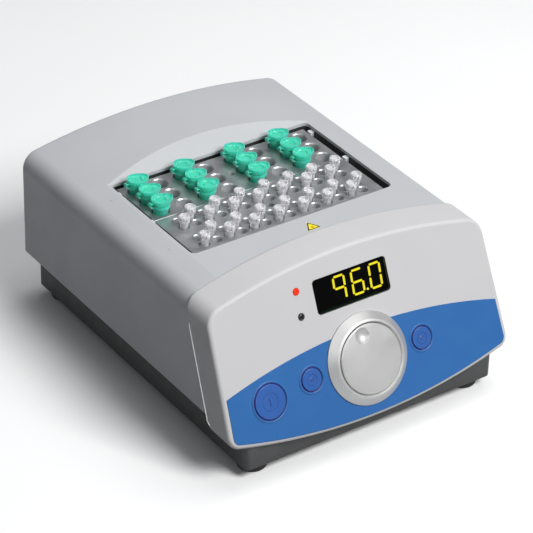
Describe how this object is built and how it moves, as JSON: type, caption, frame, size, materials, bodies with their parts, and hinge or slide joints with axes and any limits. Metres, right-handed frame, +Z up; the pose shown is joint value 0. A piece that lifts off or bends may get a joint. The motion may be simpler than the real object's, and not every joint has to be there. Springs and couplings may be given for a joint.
{
  "type": "dry block heater",
  "caption": "Two-block digital dry block heater with bored aluminium blocks, capped sample tubes, a crowned cover, a leaned-back control panel with a dial and round buttons.",
  "frame": {"origin": "on the bench surface, below the middle of the housing", "axes": "+X to the operator's right, +Y to the back, +Z up; the control panel faces -Y"},
  "size_m": [0.2214, 0.2727, 0.1212],
  "materials": {
    "cover_grey": "fine moulded texture",
    "bezel_grey": "fine moulded texture",
    "base_grey": "textured powder coat",
    "panel_blue": "satin overlay film",
    "button_blue": "satin",
    "dial_silver": "satin silver lacquer",
    "window_black": "polished",
    "digit_yellow": "lit",
    "lamp_red": "lit lens",
    "lamp_dark": "unlit lens",
    "block_aluminium": "machined, bead blasted",
    "tube_green": "translucent",
    "tube_clear": "translucent",
    "steel": "satin",
    "lug_light": "moulded",
    "rubber_black": "matte",
    "board_green": "solder mask",
    "component_black": "moulded",
    "inlet_black": "moulded",
    "pin_brass": "nickel plated",
    "silicone_red": "matte",
    "insulation_white": "felted",
    "liner_black": "satin black",
    "label_yellow": "printed film"
  },
  "bodies": {
    "case": {"upper_cover": "cover_grey", "front_bezel": "bezel_grey", "panel_overlay": "panel_blue", "base_tray": "base_grey", "rubber_feet": "rubber_black", "foot_screws": "steel", "case_screws": "steel", "display_window": "window_black", "display_module": "component_black", "display_digits": "digit_yellow", "heating_indicator": "lamp_red", "ready_indicator": "lamp_dark", "dial_surround": "dial_silver", "encoder_body": "component_black", "button_springs": "steel", "tact_switches": "component_black", "panel_board": "board_green", "panel_board_screws": "steel", "well_liner": "liner_black", "liner_screws": "steel", "locating_lugs": "lug_light", "heater_plate": "block_aluminium", "heater_mat": "silicone_red", "insulation_pad": "insulation_white", "plate_posts": "insulation_white", "temperature_sensor": "steel", "thermal_cutout": "component_black", "rear_panel": "base_grey", "mains_inlet": "inlet_black", "inlet_pins": "pin_brass", "inlet_screws": "steel", "control_board": "board_green", "board_standoffs": "pin_brass", "board_components": "component_black", "hot_surface_label": "label_yellow"},
    "dial": {"dial_disc": "dial_silver"},
    "power_button": {"power_button": "button_blue"},
    "left_button": {"left_button": "button_blue"},
    "right_button": {"right_button": "button_blue"},
    "rear_block": {"rear_block": "block_aluminium"},
    "front_block": {"front_block": "block_aluminium"},
    "micro_tubes": {"micro_tubes": "tube_green"},
    "small_tubes": {"small_tubes": "tube_clear"},
    "tube_lids_1": {"tube_lids_1": "tube_green"},
    "tube_lids_2": {"tube_lids_2": "tube_green"},
    "tube_lids_3": {"tube_lids_3": "tube_green"},
    "tube_lids_4": {"tube_lids_4": "tube_green"}
  },
  "joints": [
    {"name": "dial_turn", "type": "hinge", "parent": "case", "child": "dial", "pos_m": [0, -0.12099, 0.05297], "axis": [0, -0.9128, 0.4083], "continuous": true},
    {"name": "power_button_press", "type": "slide", "parent": "case", "child": "power_button", "axis": [0, 0.9128, -0.4083], "range_m": [0, 0.0012], "stiffness_N_per_m": 600, "springref_m": -0.0006},
    {"name": "left_button_press", "type": "slide", "parent": "case", "child": "left_button", "axis": [0, 0.9128, -0.4083], "range_m": [0, 0.0012], "stiffness_N_per_m": 600, "springref_m": -0.0006},
    {"name": "right_button_press", "type": "slide", "parent": "case", "child": "right_button", "axis": [0, 0.9128, -0.4083], "range_m": [0, 0.0012], "stiffness_N_per_m": 600, "springref_m": -0.0006},
    {"name": "rear_block_lift", "type": "slide", "parent": "case", "child": "rear_block", "axis": [0, 0, 1], "range_m": [0, 0.055]},
    {"name": "front_block_lift", "type": "slide", "parent": "case", "child": "front_block", "axis": [0, 0, 1], "range_m": [0, 0.055]},
    {"name": "micro_tubes_lift", "type": "slide", "parent": "rear_block", "child": "micro_tubes", "axis": [0, 0, 1], "range_m": [0, 0.045]},
    {"name": "small_tubes_lift", "type": "slide", "parent": "front_block", "child": "small_tubes", "axis": [0, 0, 1], "range_m": [0, 0.025]},
    {"name": "lids_1_open", "type": "hinge", "parent": "micro_tubes", "child": "tube_lids_1", "pos_m": [-0.07375, 0.03655, 0.11785], "axis": [0, -1, 0], "range_deg": [0, 150]},
    {"name": "lids_2_open", "type": "hinge", "parent": "micro_tubes", "child": "tube_lids_2", "pos_m": [-0.03765, 0.03655, 0.11785], "axis": [0, -1, 0], "range_deg": [0, 150]},
    {"name": "lids_3_open", "type": "hinge", "parent": "micro_tubes", "child": "tube_lids_3", "pos_m": [0.0028, 0.03655, 0.11785], "axis": [0, -1, 0], "range_deg": [0, 150]},
    {"name": "lids_4_open", "type": "hinge", "parent": "micro_tubes", "child": "tube_lids_4", "pos_m": [0.0389, 0.03655, 0.11785], "axis": [0, -1, 0], "range_deg": [0, 150]}
  ]
}
